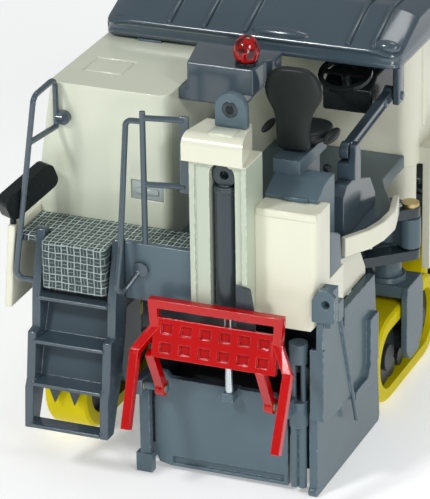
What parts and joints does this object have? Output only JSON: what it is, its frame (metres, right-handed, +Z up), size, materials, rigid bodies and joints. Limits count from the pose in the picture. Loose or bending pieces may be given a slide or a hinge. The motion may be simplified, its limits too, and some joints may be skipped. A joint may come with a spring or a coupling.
{
  "type": "scale model of a compact cold planer on crawler tracks",
  "caption": "Die-cast scale model of a compact cold planer: crawler tracks, swinging rear leg, milling drum, red conveyor bracket, operator's seat and lowered canopy.",
  "frame": {"origin": "centre of the bounding box's foot, on the ground", "axes": "+Y forward along the machine, +X its right, +Z up"},
  "size_m": [0.0372, 0.0773, 0.0481],
  "materials": {
    "yellow_belt": "satin plastic belt",
    "dark_carrier": "satin",
    "grey_paint": "satin grey-blue",
    "cream_paint": "gloss",
    "canopy_grey": "satin",
    "mesh_grey": "raised tread",
    "red_paint": "gloss",
    "seat_dark": "soft grained",
    "black_plastic": "satin",
    "bare_metal": "bright rod",
    "brass": "plain",
    "beacon_red": "clear red lens"
  },
  "bodies": {
    "machine": {"beacon": "beacon_red", "canopy_posts": "canopy_grey", "carrier_rear_left": "dark_carrier", "chassis_frame": "grey_paint", "drum_housing": "grey_paint", "engine_hood": "cream_paint", "extraction_box": "canopy_grey", "front_body": "cream_paint", "front_grille": "black_plastic", "guard_band": "cream_paint", "handrail_left": "canopy_grey", "handrail_right": "canopy_grey", "ladder": "canopy_grey", "left_guide": "grey_paint", "left_skirt": "cream_paint", "leg_rear_left": "grey_paint", "lift_cylinder": "canopy_grey", "mast": "cream_paint", "mast_clevis": "grey_paint", "mast_foot": "canopy_grey", "mirror": "black_plastic", "operator_floor": "mesh_grey", "plate_cover": "grey_paint", "platform_deck": "mesh_grey", "right_guide": "grey_paint", "seat": "seat_dark", "seat_pedestal": "grey_paint", "side_console": "grey_paint", "side_panel": "grey_paint", "steering_console": "black_plastic", "steering_wheel": "black_plastic", "swing_bracket": "dark_carrier", "swing_screw": "brass", "track_rear_left": "yellow_belt", "water_tank": "cream_paint"},
    "drum": {"milling_drum": "dark_carrier"},
    "scraper": {"scraper_plate": "grey_paint", "lift_rod": "bare_metal"},
    "conveyor_hook": {"conveyor_bracket": "red_paint"},
    "plate_left": {"side_plate_left": "grey_paint"},
    "plate_right": {"side_plate_right": "grey_paint"},
    "swing": {"swing_arm": "grey_paint"},
    "crawler_rear_right": {"leg_rear_right": "grey_paint", "track_rear_right": "yellow_belt", "carrier_rear_right": "dark_carrier"},
    "crawler_front_left": {"leg_front_left": "grey_paint", "track_front_left": "yellow_belt", "carrier_front_left": "dark_carrier"},
    "crawler_front_right": {"leg_front_right": "grey_paint", "track_front_right": "yellow_belt", "carrier_front_right": "dark_carrier"},
    "arms": {"canopy_arms": "canopy_grey"},
    "roof": {"canopy": "canopy_grey"}
  },
  "joints": [
    {"name": "drum_spin", "type": "hinge", "parent": "machine", "child": "drum", "pos_m": [0.0056, -0.01935, 0.0064], "axis": [1, 0, 0], "continuous": true},
    {"name": "scraper_lift", "type": "slide", "parent": "machine", "child": "scraper", "axis": [0, 0, 1], "range_m": [0, 0.007]},
    {"name": "conveyor_tilt", "type": "hinge", "parent": "machine", "child": "conveyor_hook", "pos_m": [0.00485, -0.03155, 0.0109], "axis": [1, 0, 0], "range_deg": [0, 75]},
    {"name": "plate_left_float", "type": "slide", "parent": "machine", "child": "plate_left", "axis": [0, 0, 1], "range_m": [0, 0.003]},
    {"name": "plate_right_float", "type": "slide", "parent": "machine", "child": "plate_right", "axis": [0, 0, 1], "range_m": [0, 0.003]},
    {"name": "leg_swing", "type": "hinge", "parent": "machine", "child": "swing", "pos_m": [0.01625, -0.00115, 0.0192], "axis": [0, 0, 1], "range_deg": [-180, 0]},
    {"name": "leg_turn", "type": "hinge", "parent": "swing", "child": "crawler_rear_right", "pos_m": [0.01285, 0.00085, 0.015], "axis": [0, 0, 1], "range_deg": [0, 180]},
    {"name": "steer_left", "type": "hinge", "parent": "machine", "child": "crawler_front_left", "pos_m": [-0.00975, 0.02705, 0.015], "axis": [0, 0, 1], "range_deg": [-20, 20]},
    {"name": "steer_right", "type": "hinge", "parent": "machine", "child": "crawler_front_right", "pos_m": [0.00945, 0.02705, 0.015], "axis": [0, 0, 1], "range_deg": [-20, 20]},
    {"name": "arms_raise", "type": "hinge", "parent": "machine", "child": "arms", "pos_m": [0.01425, -0.01645, 0.0345], "axis": [1, 0, 0], "range_deg": [0, 80]},
    {"name": "roof_level", "type": "hinge", "parent": "arms", "child": "roof", "pos_m": [0.01425, -0.00275, 0.03585], "axis": [1, 0, 0], "range_deg": [-80, 0]}
  ],
  "couplings": [
    {"joint": "leg_turn", "follows": "leg_swing", "ratio": -1},
    {"joint": "roof_level", "follows": "arms_raise", "ratio": -1}
  ]
}
